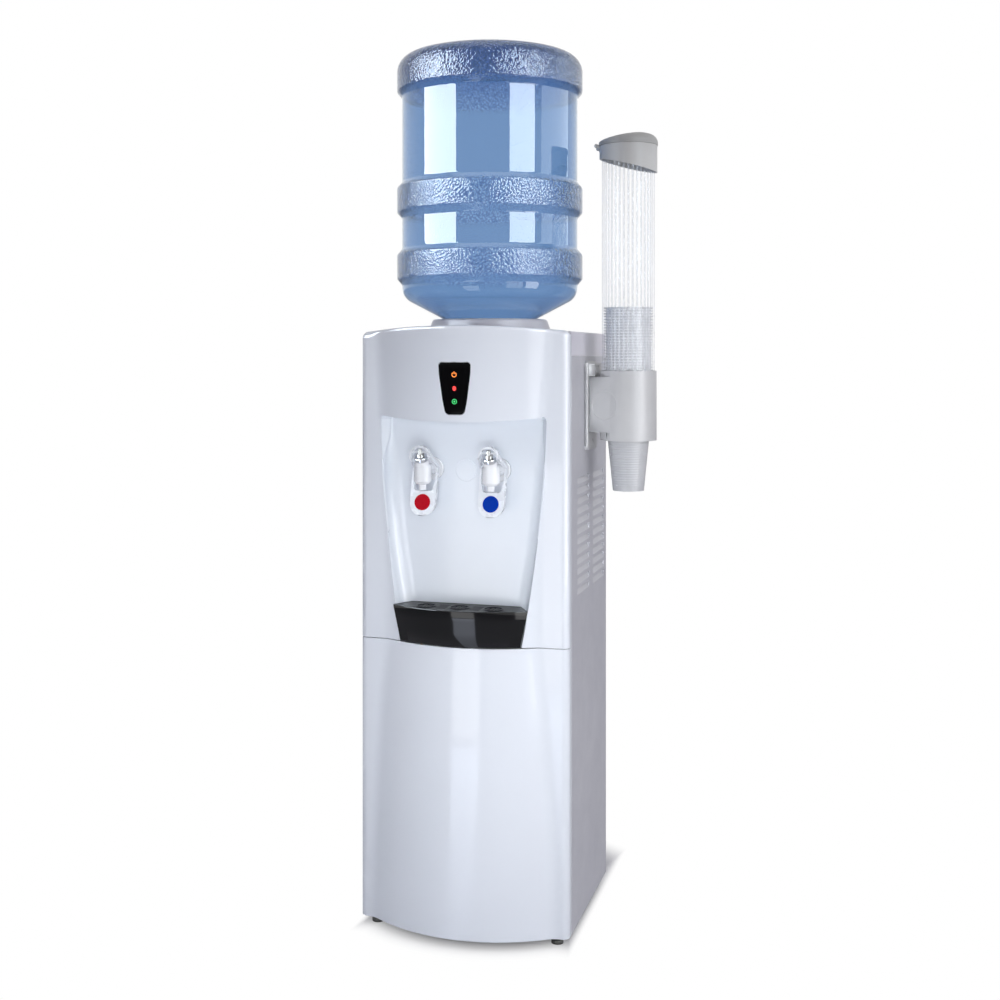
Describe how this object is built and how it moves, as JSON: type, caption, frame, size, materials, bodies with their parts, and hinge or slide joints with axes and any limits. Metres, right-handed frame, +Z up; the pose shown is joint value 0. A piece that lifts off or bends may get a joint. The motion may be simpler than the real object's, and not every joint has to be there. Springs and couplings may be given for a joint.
{
  "type": "water cooler",
  "caption": "Floor-standing water cooler: inverted bottle on a bowed cabinet, push-lever taps in a moulded niche over a pull-out drip tray, tube cup dispenser on its side.",
  "frame": {"origin": "floor level, under the middle of the whole object's box", "axes": "+Z up, the taps face -Y, the cup dispenser is on the +X side"},
  "size_m": [0.4058, 0.3196, 1.258],
  "materials": {
    "gloss_white_plastic": "gloss",
    "lilac_plastic": "satin",
    "collar_plastic": "satin",
    "painted_sheet": "satin",
    "zinc_sheet": "satin",
    "niche_plastic": "satin",
    "black_plastic": "gloss",
    "tap_white": "gloss",
    "tap_nut_plastic": "matte",
    "lever_plastic": "gloss",
    "chrome": "polished",
    "stem_steel": "satin",
    "red_plastic": "gloss",
    "blue_plastic": "gloss",
    "bottle_blue": "gloss",
    "cap_blue": "matte",
    "holder_grey": "satin",
    "clear_plastic": "gloss",
    "cup_plastic": "satin",
    "foot_rubber": "matte",
    "tank_steel": "satin",
    "copper": "satin",
    "foam": "matte",
    "black_metal": "satin",
    "grommet_rubber": "matte",
    "hose": "matte",
    "drain_plastic": "matte",
    "hot_rocker_red": "gloss",
    "cold_rocker_green": "gloss",
    "board_green": "matte"
  },
  "bodies": {
    "cabinet": {"base_plate": "zinc_sheet", "rear_feet": "foot_rubber", "left_side_panel": "painted_sheet", "right_side_panel": "painted_sheet", "rear_panel": "zinc_sheet", "panel_screws": "stem_steel", "lower_front_panel": "gloss_white_plastic", "upper_front_panel": "gloss_white_plastic", "tap_niche": "niche_plastic", "niche_plug": "niche_plastic", "top_cover": "lilac_plastic", "bottle_collar": "collar_plastic", "bottle_probe": "collar_plastic", "indicator_lens": "black_plastic", "indicator_board": "board_green", "hot_tap_body": "tap_white", "hot_tap_bonnet": "chrome", "hot_tap_nut": "tap_nut_plastic", "hot_tap_spring": "stem_steel", "cold_tap_body": "tap_white", "cold_tap_bonnet": "chrome", "cold_tap_nut": "tap_nut_plastic", "cold_tap_spring": "stem_steel", "cup_bracket": "holder_grey", "cup_holder": "holder_grey", "cup_retainer": "holder_grey", "cup_tube": "clear_plastic", "cup_cap_ring": "holder_grey", "cup_stack": "cup_plastic", "cold_tank": "tank_steel", "evaporator": "copper", "cold_insulation": "foam", "tank_shelf": "zinc_sheet", "hot_tank": "tank_steel", "heater_band": "tank_steel", "compressor": "black_metal", "compressor_grommets": "grommet_rubber", "condenser_tube": "black_metal", "condenser_wires": "black_metal", "refrigerant_pipes": "copper", "water_hoses": "hose", "switch_housing": "drain_plastic", "mains_inlet": "drain_plastic"},
    "tray": {"drip_tray": "black_plastic"},
    "grille": {"drip_grille": "black_plastic"},
    "bottle": {"bottle": "bottle_blue", "bottle_cap": "cap_blue"},
    "hot_stem": {"hot_tap_stem": "stem_steel"},
    "hot_lever": {"hot_tap_lever": "lever_plastic", "hot_tap_badge": "red_plastic"},
    "cold_stem": {"cold_tap_stem": "stem_steel"},
    "cold_lever": {"cold_tap_lever": "lever_plastic", "cold_tap_badge": "blue_plastic"},
    "cup_lid": {"cup_lid": "holder_grey"},
    "lowest_cup": {"lowest_cup": "cup_plastic"},
    "hot_rocker": {"hot_switch": "hot_rocker_red"},
    "cold_rocker": {"cold_switch": "cold_rocker_green"},
    "front_left_foot": {"front_left_foot": "foot_rubber"},
    "front_right_foot": {"front_right_foot": "foot_rubber"},
    "drain_cap": {"drain_cap": "drain_plastic"}
  },
  "joints": [
    {"name": "tray_slide", "type": "slide", "parent": "cabinet", "child": "tray", "axis": [0, -1, 0], "range_m": [0, 0.09]},
    {"name": "grille_lift", "type": "slide", "parent": "tray", "child": "grille", "axis": [0, 0, 1], "range_m": [0, 0.05]},
    {"name": "bottle_lift", "type": "slide", "parent": "cabinet", "child": "bottle", "axis": [0, 0, 1], "range_m": [0, 0.12]},
    {"name": "hot_stem_lift", "type": "slide", "parent": "cabinet", "child": "hot_stem", "axis": [0, -0.3746, 0.9272], "range_m": [0, 0.0029], "stiffness_N_per_m": 2000, "springref_m": -0.004, "deforming": ["hot_tap_spring"]},
    {"name": "hot_lever_tilt", "type": "hinge", "parent": "hot_stem", "child": "hot_lever", "pos_m": [-0.0999, -0.15441, 0.67889], "axis": [1, 0, 0], "range_deg": [0, 14]},
    {"name": "cold_stem_lift", "type": "slide", "parent": "cabinet", "child": "cold_stem", "axis": [0, -0.3746, 0.9272], "range_m": [0, 0.0029], "stiffness_N_per_m": 2000, "springref_m": -0.004, "deforming": ["cold_tap_spring"]},
    {"name": "cold_lever_tilt", "type": "hinge", "parent": "cold_stem", "child": "cold_lever", "pos_m": [-0.0009, -0.15441, 0.67889], "axis": [1, 0, 0], "range_deg": [0, 14]},
    {"name": "cup_lid_flip", "type": "hinge", "parent": "cabinet", "child": "cup_lid", "pos_m": [0.1158, 0.01545, 1.1162], "axis": [0, -1, 0], "range_deg": [0, 95]},
    {"name": "cup_pull", "type": "slide", "parent": "cabinet", "child": "lowest_cup", "axis": [0, 0, -1], "range_m": [0, 0.12]},
    {"name": "hot_rocker_tip", "type": "hinge", "parent": "cabinet", "child": "hot_rocker", "pos_m": [0.0436, 0.13295, 0.765], "axis": [-1, 0, 0], "range_deg": [0, 18]},
    {"name": "cold_rocker_tip", "type": "hinge", "parent": "cabinet", "child": "cold_rocker", "pos_m": [0.0236, 0.13295, 0.765], "axis": [-1, 0, 0], "range_deg": [0, 18]},
    {"name": "front_left_foot_turn", "type": "hinge", "parent": "cabinet", "child": "front_left_foot", "pos_m": [-0.1829, -0.09955, 0], "axis": [0, 0, 1], "continuous": true},
    {"name": "front_right_foot_turn", "type": "hinge", "parent": "cabinet", "child": "front_right_foot", "pos_m": [0.0821, -0.09955, 0], "axis": [0, 0, 1], "continuous": true},
    {"name": "drain_cap_pull", "type": "slide", "parent": "cabinet", "child": "drain_cap", "axis": [0, 1, 0], "range_m": [0, 0.03]}
  ],
  "couplings": [
    {"joint": "hot_lever_tilt", "follows": "hot_stem_lift", "rad_per_m": 84},
    {"joint": "cold_lever_tilt", "follows": "cold_stem_lift", "rad_per_m": 84}
  ]
}
